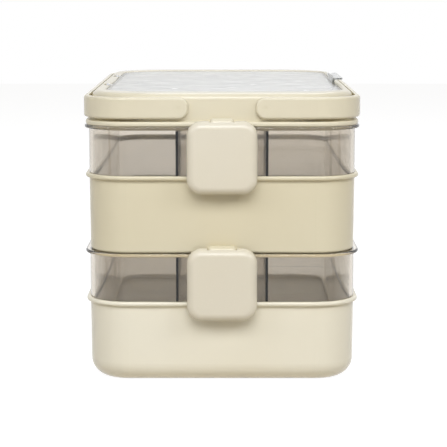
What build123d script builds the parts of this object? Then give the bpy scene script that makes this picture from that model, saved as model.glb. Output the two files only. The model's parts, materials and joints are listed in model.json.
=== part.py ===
"""Two-tier storage box: two tubs, two clear trays, a lid with a clear flap, swing-up handles and latches.

Millimetres, +Z up. The origin is the middle of the underside, -Y is the narrow end with the front latches.
"""
import math
import os

from build123d import *

# Plan of the tubs, to the outside of their walls just under the rim.
tub_width = 171.6
tub_depth = 291.6
tub_corner = 25.8

# Tubs.
base_tub_height = 52.6
upper_tub_height = 49.6
tub_wall = 2.2
tub_floor = 2.2
tub_draft_angle = 0.5
base_fillet = 12.0
upper_tub_fillet = 1.9
tub_inner_round = 1.0
rim_reach = 2.4
rim_height = 2.7
rim_round = 1.2

# Clear trays. Each stands on a rim, with its bottom nested in a recess in the tub's mouth.
tray_rise = 31.3
tray_wall = 2.2
tray_floor = 1.8
tray_inner_round = 1.0
tray_nest_depth = 3.8
nest_step = 1.1
tray_foot_round = 0.8
recess_clearance = 0.2
flange_reach = 2.8
flange_height = 2.2
flange_round = 1.0
nest_clearance = 0.3
wall_root = 1.0
foot_ring_depth = 2.6
foot_ring_wall = 2.0

# Walls and cross dividers in the trays.
long_wall = 1.6
long_wall_spacing = 57.2
divider_drop = 3.0
cross_divider = 1.4
divider_spacing = 96.0
guide_rib = 1.2
divider_clearance = 0.15

# Lid.
lid_rise = 20.9
lid_set_in = 0.8
lid_corner = 42.0
lid_wall = 2.4
lid_top_round = 4.2
lid_rim_reach = 2.1
lid_rim_height = 3.2
lid_skin = 4.8
compartment_inset = 3.0
compartment_wall = 2.0
compartment_floor = 2.0
compartment_floor_lift = 1.7
compartment_round = 3.0

# Clear flap in the lid's top. The margins are the lid's top around the flap's opening.
opening_left_margin = 8.4
opening_right_margin = 5.8
opening_end_margin = 21.0
opening_corner = 30.0
opening_edge_round = 1.4
flap_gap = 0.7
flap_thickness = 2.1
flap_recess = 0.4
flap_edge_round = 0.4
flap_hinge_out = 2.1
flap_hinge_drop = 1.4
flap_knuckle_radius = 1.6
flap_knuckle_length = 16.0
flap_knuckle_spacing = 100.0
flap_pin_radius = 0.75
flap_pin_length = 193.0
flap_pin_front = -83.0
knuckle_gap = 0.6
tab_length = 68.0
tab_overlap = 5.2
tab_root = 1.6
tab_web_inset = 6.0
tab_thickness = 1.1
tab_lift = 2.2
tab_corner = 3.0

# Handles.
handle_reach = 3.1
handle_thickness = 3.2
handle_height = 13.8
handle_lift = 1.7
handle_edge_round = 1.6
arm_end_gap = 42.8
arm_end_round = 6.0
handle_pivot_inset = 6.0
stud_radius = 3.5
stud_length = 7.4
stud_boss_radius = 5.6
stud_boss_end_wall = 2.0

# Latches.
latch_width = 44.6
latch_height = 46.2
latch_depth = 7.0
latch_corner = 9.5
latch_edge_round = 5.0
latch_wall = 1.8
latch_pin_above_rim = 33.7
latch_pin_below_top = 1.7
latch_pin_behind_face = 6.2
latch_pin_standoff = 5.3
latch_pin_radius = 0.9
latch_pin_inset = 0.2
bracket_radius = 3.4
bracket_end_round = 2.6
bracket_neck_height = 0.7
lid_bracket_width = 15.6
tub_bracket_width = 18.4
bracket_side_gap = 0.4
bracket_face_gap = 0.3
latch_knuckle_radius = 1.65
latch_knuckle_width = 4.0
catch_width = 28.0
catch_height = 2.8
catch_below_rim = 0.6
catch_clearance = 0.35
catch_round = 1.0
keeper_rib_spacing = 22.2
keeper_rib_width = 1.0
keeper_rib_reach = 2.2
keeper_rib_length = 12.1
gate_dimple_radius = 1.1
gate_dimple_depth = 0.3

running_clearance = 0.08
flange_clearance = 0.5

# Levels.
base_rim_top = base_tub_height
lower_flange_top = base_rim_top + tray_rise
upper_rim_top = lower_flange_top + upper_tub_height
upper_flange_top = upper_rim_top + tray_rise
lid_rim_top = upper_flange_top + lid_rim_height
lid_top = upper_flange_top + lid_rise
handle_low = lid_rim_top + handle_lift
handle_middle = handle_low + handle_height / 2

# Places worked out from the plan.
half_depth = tub_depth / 2
ring_out = -tray_wall - nest_clearance
lid_half_width = tub_width / 2 - lid_set_in
lid_half_depth = half_depth - lid_set_in
pivot_x = arm_end_gap / 2 + handle_pivot_inset
latch_pin_y = -(half_depth + latch_pin_standoff)
latch_face_y = latch_pin_y - latch_pin_behind_face
handle_inner_out = handle_reach - handle_thickness
flap_seat = lid_top - flap_recess - flap_thickness
opening_left = opening_left_margin - lid_half_width
opening_right = lid_half_width - opening_right_margin
opening_half_depth = lid_half_depth - opening_end_margin
flap_pin_x = opening_left - flap_hinge_out
flap_pin_z = lid_top - flap_hinge_drop

os.makedirs("parts", exist_ok=True)


def plan(out):
    """Outline of the tubs, moved out from their walls by a distance."""
    return RectangleRounded(tub_width + 2 * out, tub_depth + 2 * out, tub_corner + out)


def lid_plan(out):
    """Outline of the lid's body, which has wider corners than the tubs."""
    return RectangleRounded(2 * (lid_half_width + out), 2 * (lid_half_depth + out), lid_corner + out)


def opening_plan(out):
    """Outline of the flap's opening in the lid, moved out by a distance."""
    return Pos((opening_left + opening_right) / 2, 0) * RectangleRounded(
        opening_right - opening_left + 2 * out, 2 * (opening_half_depth + out), opening_corner + out
    )


def slab(outline, low, high, round_low=0.0, round_high=0.0, draft=0.0):
    """Upright solid on an outline, with rounded lower and upper edges. Draft narrows it downwards."""
    if draft:
        solid = Pos(0, 0, high) * extrude(outline, high - low, dir=(0, 0, -1), taper=draft)
    else:
        solid = Pos(0, 0, low) * extrude(outline, high - low)
    if round_low:
        solid = fillet(solid.edges().group_by(Axis.Z)[0], round_low)
    if round_high:
        solid = fillet(solid.edges().group_by(Axis.Z)[-1], round_high)
    return solid


def block(x, y, z):
    """Box between two corners, each axis given as a pair."""
    size = [abs(b - a) for a, b in (x, y, z)]
    middle = [(a + b) / 2 for a, b in (x, y, z)]
    return Pos(*middle) * Box(*size)


def rod(radius, middle, length, axis):
    """Cylinder along X or Y about a middle point."""
    turn = Rot(0, 90, 0) if axis == "x" else Rot(90, 0, 0)
    return Pos(*middle) * turn * Cylinder(radius, length)


def both_ends(solid):
    """A feature of the front end, and the same one at the rear end."""
    return solid + Rot(0, 0, 180) * solid


def save(solid, name):
    """Write one piece."""
    solid.label = name
    export_step(solid, f"parts/{name}.step")


def tub_shell(low, rim_top, bottom_round):
    """Open tub with a rolled rim, and a recess in its mouth for the bottom of the tray above."""
    body = slab(plan(0), low, rim_top - rim_height, bottom_round, 0, tub_draft_angle)
    rim = slab(plan(rim_reach), rim_top - rim_height, rim_top, rim_round, rim_round)
    inner_round = max(bottom_round - tub_wall, tub_inner_round)
    inside = slab(plan(-tub_wall), low + tub_floor, rim_top, inner_round, 0, tub_draft_angle)
    recess = slab(plan(recess_clearance - nest_step), rim_top - tray_nest_depth - recess_clearance, rim_top)
    return body + rim - inside - recess


def latch_bracket(pin_z, width, root_y):
    """Bracket that carries a latch pin at the front end: a round-ended barrel, and a neck to the wall."""
    barrel = rod(bracket_radius, (0, latch_pin_y, pin_z), width, "x")
    barrel = fillet(barrel.edges().filter_by(GeomType.CIRCLE), bracket_end_round)
    neck_low = pin_z - latch_pin_above_rim + tray_rise + flange_clearance
    neck = block((-width / 2, width / 2), (latch_pin_y, root_y), (neck_low, pin_z + bracket_neck_height))
    bore = rod(latch_pin_radius, (0, latch_pin_y, pin_z), width + 1, "x")
    return barrel + neck, bore


def make_upper_tub():
    """Upper tub, with its foot ring, keeper ribs and the brackets of the lower latches."""
    shell = tub_shell(lower_flange_top, upper_rim_top, upper_tub_fillet)
    ring_low = lower_flange_top - foot_ring_depth
    ring_top = lower_flange_top + tub_floor / 2
    ring = slab(plan(ring_out), ring_low, ring_top)
    ring -= slab(plan(ring_out - foot_ring_wall), ring_low, ring_top)
    rib_top = upper_rim_top - rim_height / 2
    rib_low = upper_rim_top - rim_height - keeper_rib_length
    ribs = [
        block(
            (x - keeper_rib_width / 2, x + keeper_rib_width / 2),
            (-(half_depth + keeper_rib_reach), -(half_depth - tub_wall / 2)),
            (rib_low, rib_top),
        )
        for x in (-keeper_rib_spacing / 2, keeper_rib_spacing / 2)
    ]
    pin_z = base_rim_top + latch_pin_above_rim
    bracket, bore = latch_bracket(pin_z, tub_bracket_width, -(half_depth - tub_wall * 0.6))
    return shell + ring + both_ends(bracket + ribs[0] + ribs[1]) - both_ends(bore)


def tray_cavity(rim_top, shrink=0.0):
    """Space inside a tray, from its floor to its top, made smaller by a clearance."""
    low = rim_top - tray_nest_depth + tray_floor + shrink
    return slab(plan(-tray_wall - shrink), low, rim_top + tray_rise, tray_inner_round)


def divider_columns(turned):
    """Name of each column of a tray, its limits along X and the places of its cross dividers along Y."""
    near = (long_wall_spacing - long_wall) / 2
    far = (long_wall_spacing + long_wall) / 2
    limits = [(-tub_width, -far), (-near, near), (far, tub_width)]
    pair = (-divider_spacing / 2, divider_spacing / 2)
    places = [(0.0,), pair, pair]
    if turned:
        places.reverse()
    return list(zip(("left", "middle", "right"), limits, places))


def make_tray(rim_top, turned):
    """Clear tray with two long walls and the guide ribs that hold its cross dividers."""
    floor_top = rim_top - tray_nest_depth + tray_floor
    flange_top = rim_top + tray_rise
    flange_low = flange_top - flange_height
    wall_top = flange_top - divider_drop
    nest = slab(plan(-nest_step), rim_top - tray_nest_depth, rim_top, tray_foot_round)
    band = slab(plan(0), rim_top, flange_low)
    flange = slab(plan(flange_reach), flange_low, flange_top, flange_round, flange_round)
    tray = nest + band + flange - tray_cavity(rim_top)

    walls = []
    for x in (-long_wall_spacing / 2, long_wall_spacing / 2):
        span = (x - long_wall / 2, x + long_wall / 2)
        walls.append(block(span, (-tub_depth, tub_depth), (floor_top - wall_root, wall_top)))
    clear_half_width = tub_width / 2 - tray_wall
    rib_offset = (cross_divider + guide_rib) / 2 + divider_clearance
    for _, (x_low, x_high), places in divider_columns(turned):
        left_rib = (x_low, max(x_low, -clear_half_width) + guide_rib)
        right_rib = (min(x_high, clear_half_width) - guide_rib, x_high)
        for y in places:
            for middle in (y - rib_offset, y + rib_offset):
                depth = (middle - guide_rib / 2, middle + guide_rib / 2)
                for span in (left_rib, right_rib):
                    walls.append(block(span, depth, (floor_top - wall_root, wall_top)))
    room = tray_cavity(rim_top, -wall_root)
    for wall in walls:
        tray += wall & room
    return tray


def make_cross_dividers(rim_top, turned):
    """Cross dividers of one tray, by name. Each drops between its guide ribs down to the floor."""
    cavity = tray_cavity(rim_top, divider_clearance)
    low = rim_top - tray_nest_depth
    top = rim_top + tray_rise - divider_drop
    pieces = {}
    for column, (x_low, x_high), places in divider_columns(turned):
        span = (x_low + divider_clearance, x_high - divider_clearance)
        for number, y in enumerate(places, 1):
            depth = (y - cross_divider / 2, y + cross_divider / 2)
            pieces[f"{column}_divider_{number}"] = block(span, depth, (low, top)) & cavity
    return pieces


def on_opening_edge(edge):
    """True for an edge that lies on the upper edge of the flap's opening."""
    point = edge.center()
    inside_x = opening_left - 0.01 < point.X < opening_right + 0.01
    return inside_x and abs(point.Y) < opening_half_depth + 0.01 and abs(point.Z - lid_top) < 0.01


def make_lid():
    """Lid with its rim, compartment, flap seat, hinge pockets, handle bosses and latch brackets."""
    rim = slab(plan(lid_rim_reach), upper_flange_top, lid_rim_top, rim_round, rim_round)
    body = slab(lid_plan(0), upper_flange_top, lid_top, 0, lid_top_round)
    ring_low = upper_flange_top - foot_ring_depth
    ring = slab(plan(ring_out), ring_low, lid_rim_top)
    floor_low = upper_flange_top + compartment_floor_lift
    floor_top = floor_low + compartment_floor
    under = slab(plan(ring_out - foot_ring_wall), ring_low, floor_low)
    hollow = slab(lid_plan(-lid_wall), floor_low, lid_top - lid_skin)
    hollow -= slab(opening_plan(compartment_wall - compartment_inset), floor_low, lid_top - lid_skin)
    compartment = slab(opening_plan(-compartment_inset), floor_top, lid_top, compartment_round)
    seat = slab(opening_plan(0), flap_seat, lid_top)
    lid = rim + body + ring - under - hollow - compartment - seat
    lid = fillet([edge for edge in lid.edges() if on_opening_edge(edge)], opening_edge_round)

    pocket_half = flap_knuckle_length / 2 + knuckle_gap
    for y in (-flap_knuckle_spacing / 2, flap_knuckle_spacing / 2):
        lid -= rod(flap_knuckle_radius + knuckle_gap, (flap_pin_x, y, flap_pin_z), 2 * pocket_half, "y")
        depth = (y - pocket_half, y + pocket_half)
        lid -= block((flap_pin_x, opening_left), depth, (flap_seat, lid_top))
    lid -= flap_bore(flap_pin_radius, lid_half_depth)

    wall_face = lid_half_depth - lid_wall / 2
    bore_end = half_depth + handle_inner_out - stud_length - nest_clearance
    boss_end = bore_end - stud_boss_end_wall
    for x in (-pivot_x, pivot_x):
        for end in (-1, 1):
            middle = (x, end * (wall_face + boss_end) / 2, handle_middle)
            lid += rod(stud_boss_radius, middle, wall_face - boss_end, "y")
            middle = (x, end * (half_depth + bore_end) / 2, handle_middle)
            lid -= rod(stud_radius + running_clearance, middle, half_depth - bore_end, "y")

    pin_z = upper_rim_top + latch_pin_above_rim
    bracket, pin_bore = latch_bracket(pin_z, lid_bracket_width, lid_wall / 2 + lid_set_in - half_depth)
    return lid + both_ends(bracket) - both_ends(pin_bore)


def flap_bore(radius, rear):
    """Round bar on the flap's hinge axis, from the front end of its pin to a place further back."""
    middle = (flap_pin_x, (flap_pin_front + rear) / 2, flap_pin_z)
    return rod(radius, middle, rear - flap_pin_front, "y")


def make_flap():
    """Clear flap with two knuckles on the left and a raised finger tab on the right."""
    top = flap_seat + flap_thickness
    plate = slab(opening_plan(-flap_gap), flap_seat, top, flap_edge_round, flap_edge_round)
    knuckle_root = opening_left + flap_gap + tab_root
    for y in (-flap_knuckle_spacing / 2, flap_knuckle_spacing / 2):
        depth = (y - flap_knuckle_length / 2, y + flap_knuckle_length / 2)
        plate += rod(flap_knuckle_radius, (flap_pin_x, y, flap_pin_z), flap_knuckle_length, "y")
        plate += block((flap_pin_x, knuckle_root), depth, (flap_seat + knuckle_gap, top))
    plate -= flap_bore(flap_pin_radius + running_clearance, lid_half_depth)
    tab_low = lid_top + tab_lift
    depth = (-tab_length / 2, tab_length / 2)
    root = (opening_right - flap_gap - tab_root, opening_right - flap_gap)
    web_half = tab_length / 2 - tab_web_inset
    web = block(root, (-web_half, web_half), (top - flap_thickness / 2, tab_low + tab_thickness))
    tab = block((root[0], root[1] + tab_overlap), depth, (tab_low, tab_low + tab_thickness))
    tab = fillet(tab.edges().filter_by(Axis.Z).group_by(Axis.X)[-1], tab_corner)
    return plate + web + tab


def on_outer_face(edge):
    """True for an edge that lies wholly on the handle's outer outline."""
    core_x = tub_width / 2 - tub_corner
    core_y = tub_depth / 2 - tub_corner
    for place in (0.1, 0.5, 0.9):
        point = edge.position_at(place)
        reach = math.hypot(max(abs(point.X) - core_x, 0), max(abs(point.Y) - core_y, 0))
        if abs(reach - tub_corner - handle_reach) > 0.01:
            return False
    return True


def make_handle():
    """Left handle: a bar along the side, two arms round the corners and a stud at the end of each arm."""
    handle_top = handle_low + handle_height
    loop = slab(plan(handle_reach), handle_low, handle_top)
    loop -= slab(plan(handle_inner_out), handle_low, handle_top)
    side_view = Pos(-(arm_end_gap + tub_width) / 2, handle_middle) * RectangleRounded(
        tub_width, handle_height, arm_end_round
    )
    handle = loop & extrude(Plane.XZ * side_view, tub_depth, both=True)
    handle = fillet([edge for edge in handle.edges() if on_outer_face(edge)], handle_edge_round)
    root = half_depth + handle_inner_out + handle_thickness / 2
    tip = half_depth + handle_inner_out - stud_length
    for end in (-1, 1):
        handle += rod(stud_radius, (-pivot_x, end * (root + tip) / 2, handle_middle), root - tip, "y")
        face = (-pivot_x, end * (half_depth + handle_reach), handle_middle)
        handle -= rod(gate_dimple_radius, face, 2 * gate_dimple_depth, "y")
    return handle


def latch_block(inset):
    """Solid block of the latch about its pin at height 0, with a rounded face, set in by a distance."""
    face = Plane.XZ.offset(-(latch_face_y + inset)) * Pos(0, latch_pin_below_top - latch_height / 2)
    shape = RectangleRounded(latch_width - 2 * inset, latch_height - 2 * inset, latch_corner - inset)
    solid = extrude(face * shape, -latch_depth)
    return fillet(solid.edges().group_by(Axis.Y)[0], latch_edge_round - inset)


def make_latch(bracket_width):
    """Front latch about its pin at height 0: a hollow cap, room for the bracket, two knuckles, a catch."""
    pocket_y = latch_face_y + latch_wall
    whole = latch_block(0)
    latch = whole - latch_block(latch_wall)
    notch_x = bracket_width / 2 + bracket_side_gap
    latch -= rod(bracket_radius + bracket_face_gap, (0, latch_pin_y, 0), 2 * notch_x, "x")
    for side in (-1, 1):
        span = (side * notch_x, side * (notch_x + latch_knuckle_width))
        latch += rod(latch_knuckle_radius, (sum(span) / 2, latch_pin_y, 0), latch_knuckle_width, "x")
        web_depth = (pocket_y - latch_wall / 2, latch_pin_y)
        web_height = (-latch_knuckle_radius, latch_pin_below_top - latch_wall / 2)
        latch += block(span, web_depth, web_height) & whole
    latch -= rod(latch_pin_radius + running_clearance, (0, latch_pin_y, 0), latch_width - 2 * latch_wall, "x")
    catch_tip = catch_clearance + half_depth + flange_reach
    catch_top = -latch_pin_above_rim - rim_height - catch_below_rim
    half = catch_width / 2
    catch_depth = (pocket_y - latch_wall / 2, -catch_tip)
    catch = block((-half, half), catch_depth, (catch_top - catch_height, catch_top))
    catch = fillet(catch.edges().filter_by(Axis.X).group_by(Axis.Y)[-1], catch_round)
    return latch + catch


def make_latch_pin(bracket_width):
    """Latch pin about height 0, a little shorter than the knuckles' outer faces."""
    length = bracket_width + 2 * (bracket_side_gap + latch_knuckle_width - latch_pin_inset)
    return rod(latch_pin_radius, (0, latch_pin_y, 0), length, "x")


save(tub_shell(0, base_rim_top, base_fillet), "base_tub")
save(make_upper_tub(), "upper_tub")
for tier, rim, turned in (("lower", base_rim_top, True), ("upper", upper_rim_top, False)):
    save(make_tray(rim, turned), f"{tier}_tray")
    for name, divider in make_cross_dividers(rim, turned).items():
        save(divider, f"{tier}_{name}")

save(make_lid(), "lid_frame")
save(make_flap(), "lid_cover")
save(flap_bore(flap_pin_radius, flap_pin_front + flap_pin_length), "cover_hinge_pin")
save(make_handle(), "left_handle")
save(Rot(0, 0, 180) * make_handle(), "right_handle")

brackets = (("lower", base_rim_top, tub_bracket_width), ("upper", upper_rim_top, lid_bracket_width))
for tier, rim, width in brackets:
    for end, turn in (("front", 0), ("rear", 180)):
        place = Pos(0, 0, rim + latch_pin_above_rim) * Rot(0, 0, turn)
        save(place * make_latch(width), f"{tier}_{end}_latch")
        save(place * make_latch_pin(width), f"{tier}_{end}_latch_pin")
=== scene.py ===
"""Looks of a two-tier storage box: cream tubs, smoky clear trays, a clear flap and four latches.

Everything is in metres, in the CAD model's frame: +Z is up, and -Y is the end nearest the camera.
"""
import json
import math

import bpy
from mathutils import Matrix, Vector

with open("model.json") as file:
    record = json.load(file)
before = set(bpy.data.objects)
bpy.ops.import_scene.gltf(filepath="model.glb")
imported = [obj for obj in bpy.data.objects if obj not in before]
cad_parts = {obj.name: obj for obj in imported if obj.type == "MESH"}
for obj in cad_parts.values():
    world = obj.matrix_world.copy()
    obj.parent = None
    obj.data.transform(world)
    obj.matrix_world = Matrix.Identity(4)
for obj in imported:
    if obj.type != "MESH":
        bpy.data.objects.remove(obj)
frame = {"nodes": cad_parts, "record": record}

# Camera, found by fitting the rims, handles and tray floors in the photograph.
CAMERA_PLACE = (0.00095, -1.192, 0.25585)
CAMERA_PITCH = math.radians(8.3)
FOCAL_LENGTH_PX = 1664
PHOTO_WIDTH_PX = 447
SENSOR_WIDTH_MM = 36.0

# Colours, linear. The lid, latch and clear mouldings differ a little in tone. The two tubs share
# one cream, painted with light: darker on the upper tub as painted shade, lighter on the base tub
# as painted light from the floor's bounce.
LID_CREAM = (0.775, 0.717, 0.548)
# Upper tub: the cream darkened, as painted shade.
UPPER_TUB_PAINTED_SHADE_CREAM = (0.752, 0.688, 0.500)
# Base tub: the same cream lightened, as painted light from the floor's bounce.
BASE_TUB_PAINTED_LIGHT_CREAM = (0.885, 0.840, 0.690)
LATCH_CREAM = (0.785, 0.732, 0.598)
WARM_DRIFT = (0.965, 0.955, 0.930)
SMOKE_TINT = (0.995, 0.990, 0.985)
SMOKE_TINT_DEEP = (0.980, 0.970, 0.960)
FLAP_TINT = (0.740, 0.750, 0.770)
FLAP_TINT_DEEP = (0.725, 0.735, 0.755)
STEEL = (0.62, 0.61, 0.59)
STEEL_DARK = (0.42, 0.41, 0.40)
WHITE = (1.0, 1.0, 1.0)

# Roughness of each finish. Grain is added to the creams' roughness, and haze multiplies that of
# the clear plastics.
CREAM_ROUGHNESS = 0.22
LATCH_ROUGHNESS = 0.24
TRAY_ROUGHNESS = 0.03
FLAP_ROUGHNESS = 0.24
STEEL_ROUGHNESS = (0.25, 0.4)
CREAM_GRAIN = (-0.03, 0.04)
CLEAR_HAZE = (0.85, 1.15)

# Refractive indices.
CREAM_IOR = 1.49
CLEAR_IOR = 1.5

# Light lost inside the clear plastics, per metre, for red, green and blue. The absorption node's
# density stands this much above the greatest loss, so that its colour never reaches black.
SMOKE_LOSS = (58.0, 70.0, 92.0)
FLAP_LOSS = (14.0, 14.0, 16.0)
DENSITY_MARGIN = 1.25

# Noise in the materials, in waves per metre, and the range that its factor seldom leaves.
CREAM_DRIFT_WAVES = 14.0
CREAM_GRAIN_WAVES = 1400.0
CREAM_RIPPLE_WAVES = 180.0
CLEAR_DRIFT_WAVES = 22.0
CLEAR_HAZE_WAVES = 60.0
STEEL_LINE_WAVES = 3000.0
STEEL_LINE_STRETCH = (0.05, 0.05, 1.0)
NOISE_USUAL = (0.3, 0.7)

# Ripple of the moulded surfaces: strength of the bump, and its height in metres.
RIPPLE_STRENGTH = 0.06
RIPPLE_HEIGHT = 0.0004

# Surroundings. What lights the object and what the camera sees are set apart; a strength of 1
# is white.
WORLD_LEVEL = 0.11
WORLD_TONE = (1.0, 0.90, 0.76)
FLOOR_SIZE = 6.0
FLOOR_HEIGHT = -0.0002
FLOOR_COLOUR = (0.62, 0.57, 0.48)
FLOOR_SEEN_COLOUR = (0.28, 0.28, 0.28)
FLOOR_SEEN_GLOW = 0.92

# Lamps: name, place, width, height and power in watts. They all face LAMP_TARGET.
LAMP_TONE = (0.97, 0.99, 1.04)
LAMP_TARGET = (0, 0, 0.09)
LAMPS = (
    ("high_front_softbox", (0.0, -1.50, 1.38), 1.5, 0.9, 24.5),
    ("rear_softbox", (0.25, 1.05, 1.55), 1.0, 0.8, 7.0),
    ("front_right_softbox", (1.09, -0.85, 0.95), 0.4, 0.4, 5.0),
    ("front_left_softbox", (-1.09, -0.85, 0.95), 0.4, 0.4, 4.0),
)


def clear_start_objects():
    """Take away what Blender starts with, other than the CAD model."""
    for name in ("Cube", "Light", "Camera"):
        thing = bpy.data.objects.get(name)
        if thing is not None:
            bpy.data.objects.remove(thing, do_unlink=True)


def add(tree, kind, inputs=None, **settings):
    """New shader node. inputs maps socket names to values or to sockets that feed them."""
    node = tree.nodes.new(kind)
    for key, value in settings.items():
        setattr(node, key, value)
    for key, value in (inputs or {}).items():
        if isinstance(value, bpy.types.NodeSocket):
            tree.links.new(value, node.inputs[key])
        else:
            node.inputs[key].default_value = value
    return node


def new_material(name):
    """Empty node material and its output node."""
    material = bpy.data.materials.new(name)
    material.use_nodes = True
    material.node_tree.nodes.clear()
    output = add(material.node_tree, "ShaderNodeOutputMaterial")
    return material, material.node_tree, output


def noise(tree, place, waves, detail=2.0, stretch=None):
    """Noise factor at a place, in waves per metre. A stretch below 1 draws it out on that axis."""
    if stretch:
        mapping = add(tree, "ShaderNodeMapping", {"Vector": place, "Scale": stretch})
        place = mapping.outputs["Vector"]
    node = add(tree, "ShaderNodeTexNoise", {"Vector": place, "Scale": waves, "Detail": detail})
    return node.outputs["Fac"]


def blend_colour(tree, factor, low, high):
    """Colour that goes from low to high with a factor."""
    node = add(tree, "ShaderNodeMix", {"Factor": factor}, data_type="RGBA")
    ends = {"A_Color": low, "B_Color": high}
    for socket in node.inputs:
        if socket.identifier in ends:
            socket.default_value = (*ends[socket.identifier], 1)
    return next(socket for socket in node.outputs if socket.type == "RGBA")


def spread(tree, factor, low, high):
    """Number that goes from low to high as a noise factor goes over its usual range."""
    node = add(tree, "ShaderNodeMapRange", {
        "Value": factor,
        "From Min": NOISE_USUAL[0],
        "From Max": NOISE_USUAL[1],
        "To Min": low,
        "To Max": high,
    })
    return node.outputs["Result"]


def pick_shader(tree, factor, low, high):
    """Shader that is low where the factor is 0 and high where it is 1."""
    return add(tree, "ShaderNodeMixShader", {0: factor, 1: low, 2: high}).outputs["Shader"]


def moulded_plastic(name, colour, roughness):
    """Opaque moulded plastic: slow drift in colour, fine grain in the gloss and a faint ripple."""
    material, tree, output = new_material(name)
    warm = [share * drifted for share, drifted in zip(colour, WARM_DRIFT)]
    place = add(tree, "ShaderNodeTexCoord").outputs["Object"]
    drift = spread(tree, noise(tree, place, CREAM_DRIFT_WAVES), 0.0, 1.0)
    smoothest, roughest = [roughness + change for change in CREAM_GRAIN]
    grain = spread(tree, noise(tree, place, CREAM_GRAIN_WAVES, detail=3.0), smoothest, roughest)
    ripple = noise(tree, place, CREAM_RIPPLE_WAVES, detail=1.0)
    bump = add(tree, "ShaderNodeBump", {
        "Height": ripple,
        "Strength": RIPPLE_STRENGTH,
        "Distance": RIPPLE_HEIGHT,
    })
    shader = add(tree, "ShaderNodeBsdfPrincipled", {
        "Base Color": blend_colour(tree, drift, colour, warm),
        "Roughness": grain,
        "Normal": bump.outputs["Normal"],
        "IOR": CREAM_IOR,
    })
    tree.links.new(shader.outputs["BSDF"], output.inputs["Surface"])
    return material


def clear_plastic(name, tint, deep, loss, roughness):
    """Clear moulded plastic that darkens with thickness and lets lamps shine through."""
    material, tree, output = new_material(name)
    place = add(tree, "ShaderNodeTexCoord").outputs["Object"]
    drift = spread(tree, noise(tree, place, CLEAR_DRIFT_WAVES), 0.0, 1.0)
    colour = blend_colour(tree, drift, tint, deep)
    smoothest, roughest = [roughness * change for change in CLEAR_HAZE]
    haze = spread(tree, noise(tree, place, CLEAR_HAZE_WAVES, detail=3.0), smoothest, roughest)
    glass = add(tree, "ShaderNodeBsdfPrincipled", {
        "Base Color": colour,
        "Roughness": haze,
        "IOR": CLEAR_IOR,
        "Transmission Weight": 1.0,
    })
    shadow = add(tree, "ShaderNodeBsdfTransparent", {"Color": colour})
    shadow_ray = add(tree, "ShaderNodeLightPath").outputs["Is Shadow Ray"]
    surface = pick_shader(tree, shadow_ray, glass.outputs["BSDF"], shadow.outputs["BSDF"])
    tree.links.new(surface, output.inputs["Surface"])
    density = max(loss) * DENSITY_MARGIN
    passed = [1 - share / density for share in loss]
    volume = add(tree, "ShaderNodeVolumeAbsorption", {"Color": (*passed, 1), "Density": density})
    tree.links.new(volume.outputs["Volume"], output.inputs["Volume"])
    return material


def drawn_steel(name):
    """Drawn steel pin: fine lines along X and Y, as the pins lie, in its colour and its shine."""
    material, tree, output = new_material(name)
    place = add(tree, "ShaderNodeTexCoord").outputs["Object"]
    fine = noise(tree, place, STEEL_LINE_WAVES, stretch=STEEL_LINE_STRETCH)
    lines = spread(tree, fine, 0.0, 1.0)
    shader = add(tree, "ShaderNodeBsdfPrincipled", {
        "Base Color": blend_colour(tree, lines, STEEL, STEEL_DARK),
        "Roughness": spread(tree, lines, *STEEL_ROUGHNESS),
        "Metallic": 1.0,
    })
    tree.links.new(shader.outputs["BSDF"], output.inputs["Surface"])
    return material


def paint_nodes():
    """Give each CAD node its material, by its slot in the record. The tubs get copies of one
    cream: darker on the upper tub as painted shade, lighter on the base tub as painted light.
    """
    materials = {
        "cream_plastic": moulded_plastic("lid_cream", LID_CREAM, CREAM_ROUGHNESS),
        "latch_plastic": moulded_plastic("latch_cream", LATCH_CREAM, LATCH_ROUGHNESS),
        "smoky_clear_plastic": clear_plastic(
            "smoky_clear", SMOKE_TINT, SMOKE_TINT_DEEP, SMOKE_LOSS, TRAY_ROUGHNESS),
        "clear_plastic": clear_plastic(
            "flap_clear", FLAP_TINT, FLAP_TINT_DEEP, FLAP_LOSS, FLAP_ROUGHNESS),
        "pin_steel": drawn_steel("pin_steel"),
    }
    # Copies of one cream for the tubs: painted shade on the upper tub, painted light on the base
    # tub.
    tub_painted_light_and_shade = {
        "upper_tub": moulded_plastic("upper_tub_painted_shade_cream", UPPER_TUB_PAINTED_SHADE_CREAM, CREAM_ROUGHNESS),
        "base_tub": moulded_plastic("base_tub_painted_light_cream", BASE_TUB_PAINTED_LIGHT_CREAM, CREAM_ROUGHNESS),
    }
    for part in frame["record"]["subparts"]:
        node = frame["nodes"][part["node"]]
        material = tub_painted_light_and_shade.get(part["node"], materials[part["material_slot"]])
        for index in range(len(node.data.materials)):
            node.data.materials[index] = material


def seen_ray(tree):
    """1 for rays from the camera, from reflections and through glass."""
    path = add(tree, "ShaderNodeLightPath")
    seen = path.outputs["Is Camera Ray"]
    for kind in ("Is Glossy Ray", "Is Transmission Ray"):
        either = add(tree, "ShaderNodeMath", {0: seen, 1: path.outputs[kind]}, operation="MAXIMUM")
        seen = either.outputs[0]
    return seen


def make_floor():
    """Plain pale floor. It looks white to the camera and keeps the object's soft shadow."""
    bpy.ops.mesh.primitive_plane_add(size=FLOOR_SIZE, location=(0, 0, FLOOR_HEIGHT))
    floor = bpy.context.object
    floor.name = "floor"
    material, tree, output = new_material("pale_floor")
    plain = add(tree, "ShaderNodeBsdfDiffuse", {"Color": (*FLOOR_COLOUR, 1)})
    dim = add(tree, "ShaderNodeBsdfDiffuse", {"Color": (*FLOOR_SEEN_COLOUR, 1)})
    glow = add(tree, "ShaderNodeEmission", {"Strength": FLOOR_SEEN_GLOW})
    seen = add(tree, "ShaderNodeAddShader", {0: dim.outputs["BSDF"], 1: glow.outputs["Emission"]})
    surface = pick_shader(tree, seen_ray(tree), plain.outputs["BSDF"], seen.outputs["Shader"])
    tree.links.new(surface, output.inputs["Surface"])
    floor.data.materials.append(material)


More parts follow.
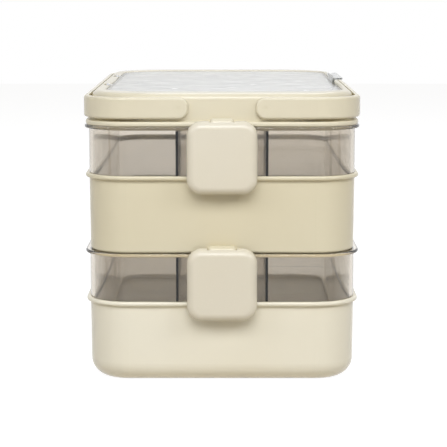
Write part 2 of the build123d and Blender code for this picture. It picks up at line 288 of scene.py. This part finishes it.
def make_world():
    """Even studio surroundings, which look white."""
    world = bpy.data.worlds.new("studio")
    bpy.context.scene.world = world
    world.use_nodes = True
    tree = world.node_tree
    tree.nodes.clear()
    output = add(tree, "ShaderNodeOutputWorld")
    lit = add(tree, "ShaderNodeBackground", {"Color": (*WORLD_TONE, 1), "Strength": WORLD_LEVEL})
    seen = add(tree, "ShaderNodeBackground", {"Color": (*WHITE, 1), "Strength": 1.0})
    surface = pick_shader(
        tree, seen_ray(tree), lit.outputs["Background"], seen.outputs["Background"])
    tree.links.new(surface, output.inputs["Surface"])


def add_softbox(name, place, width, height, power):
    """Rectangular lamp that faces the middle of the box."""
    lamp = bpy.data.lights.new(name, "AREA")
    lamp.shape = "RECTANGLE"
    lamp.size = width
    lamp.size_y = height
    lamp.energy = power
    lamp.color = LAMP_TONE
    holder = bpy.data.objects.new(name, lamp)
    bpy.context.scene.collection.objects.link(holder)
    holder.location = place
    facing = Vector(LAMP_TARGET) - Vector(place)
    holder.rotation_euler = facing.to_track_quat("-Z", "Y").to_euler()


def make_lights():
    """Large soft lamp high in front, a weaker one behind and small ones at the front corners."""
    for name, place, width, height, power in LAMPS:
        add_softbox(name, place, width, height, power)


def make_camera():
    """Camera at the photograph's place, angle and field of view."""
    data = bpy.data.cameras.new("photo_camera")
    data.sensor_width = SENSOR_WIDTH_MM
    data.lens = FOCAL_LENGTH_PX / PHOTO_WIDTH_PX * SENSOR_WIDTH_MM
    camera = bpy.data.objects.new("photo_camera", data)
    bpy.context.scene.collection.objects.link(camera)
    camera.location = CAMERA_PLACE
    camera.rotation_euler = (math.pi / 2 - CAMERA_PITCH, 0, 0)
    bpy.context.scene.camera = camera


def let_light_through():
    """Enough bounces for light to pass all the clear walls and dividers in a row."""
    cycles = bpy.context.scene.cycles
    cycles.max_bounces = 32
    cycles.transmission_bounces = 32
    cycles.transparent_max_bounces = 48
    cycles.diffuse_bounces = 6
    cycles.glossy_bounces = 8


clear_start_objects()
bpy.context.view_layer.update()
let_light_through()
paint_nodes()
make_floor()
make_world()
make_lights()
make_camera()
bpy.context.scene.view_settings.view_transform = "Standard"
